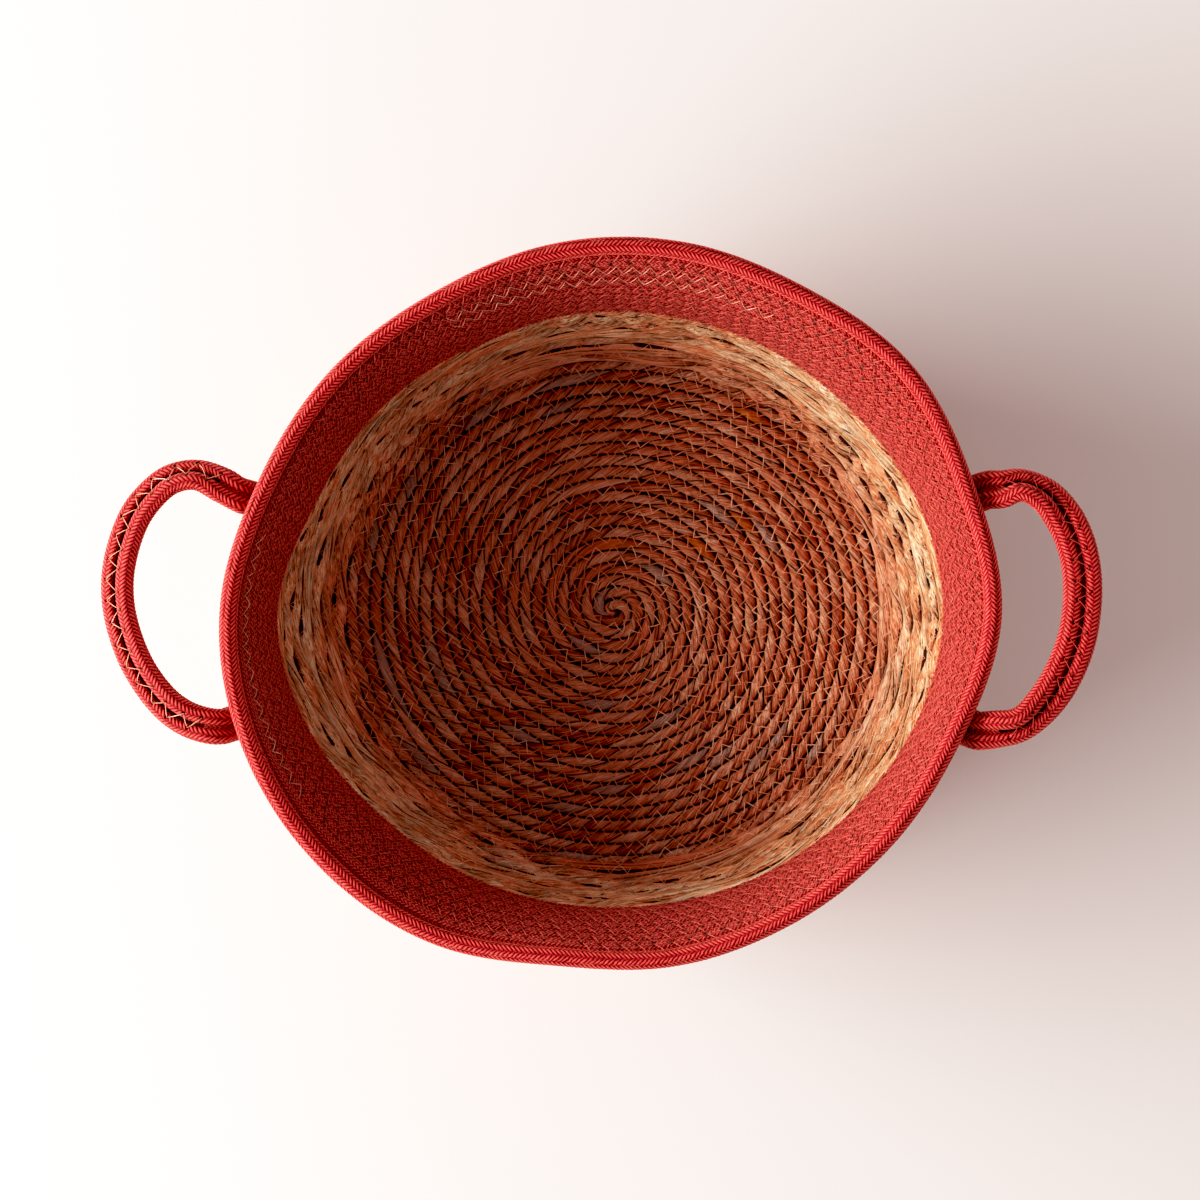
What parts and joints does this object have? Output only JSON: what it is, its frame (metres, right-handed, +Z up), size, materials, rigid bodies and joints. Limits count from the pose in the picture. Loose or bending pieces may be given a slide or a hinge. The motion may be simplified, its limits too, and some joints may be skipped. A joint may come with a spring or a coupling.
{
  "type": "rope basket",
  "caption": "Round open storage basket coiled from straw rope with a sewn cotton rope band, a rolled rim and doubled rope handles that flex up and down.",
  "frame": {"origin": "on the table under the middle of the whole outline, handles included", "axes": "+Z up, +X towards the right handle, +Y away from the viewer of the picture's lower edge"},
  "size_m": [0.4504, 0.3295, 0.1082],
  "materials": {
    "straw_base": "dry twisted straw rope, red-brown, matt with dull leaf glints",
    "straw_wall": "dry twisted straw rope, golden brown, matt",
    "band_cotton": "deep red braided cotton rope, fuzzy and matt",
    "rim_cotton": "red braided cotton rope, fuzzy and matt",
    "handle_cotton": "deep red braided cotton rope, fuzzy and matt",
    "thread": "pale pink sewing thread"
  },
  "bodies": {
    "basket": {"straw_base_coil": "straw_base", "straw_wall_coil": "straw_wall", "red_band_coil": "band_cotton", "rim_rope": "rim_cotton", "left_outer_upper_end": "handle_cotton", "left_outer_lower_end": "handle_cotton", "left_inner_upper_end": "handle_cotton", "left_inner_lower_end": "handle_cotton", "right_outer_upper_end": "handle_cotton", "right_outer_lower_end": "handle_cotton", "right_inner_upper_end": "handle_cotton", "right_inner_lower_end": "handle_cotton"},
    "left_handle": {"left_handle_outer_rope": "handle_cotton", "left_handle_inner_rope": "handle_cotton", "left_handle_thread": "thread"},
    "right_handle": {"right_handle_outer_rope": "handle_cotton", "right_handle_inner_rope": "handle_cotton", "right_handle_thread": "thread"}
  },
  "joints": [
    {"name": "left_handle_flex", "type": "hinge", "parent": "basket", "child": "left_handle", "pos_m": [-0.16661, -0.0036, 0.09622], "axis": [0.0727, 0.9974, 0.0031], "range_deg": [-40, 60]},
    {"name": "right_handle_flex", "type": "hinge", "parent": "basket", "child": "right_handle", "pos_m": [0.17287, -0.00338, 0.09742], "axis": [-0.0423, -0.9991, 0.0067], "range_deg": [-40, 60]}
  ]
}
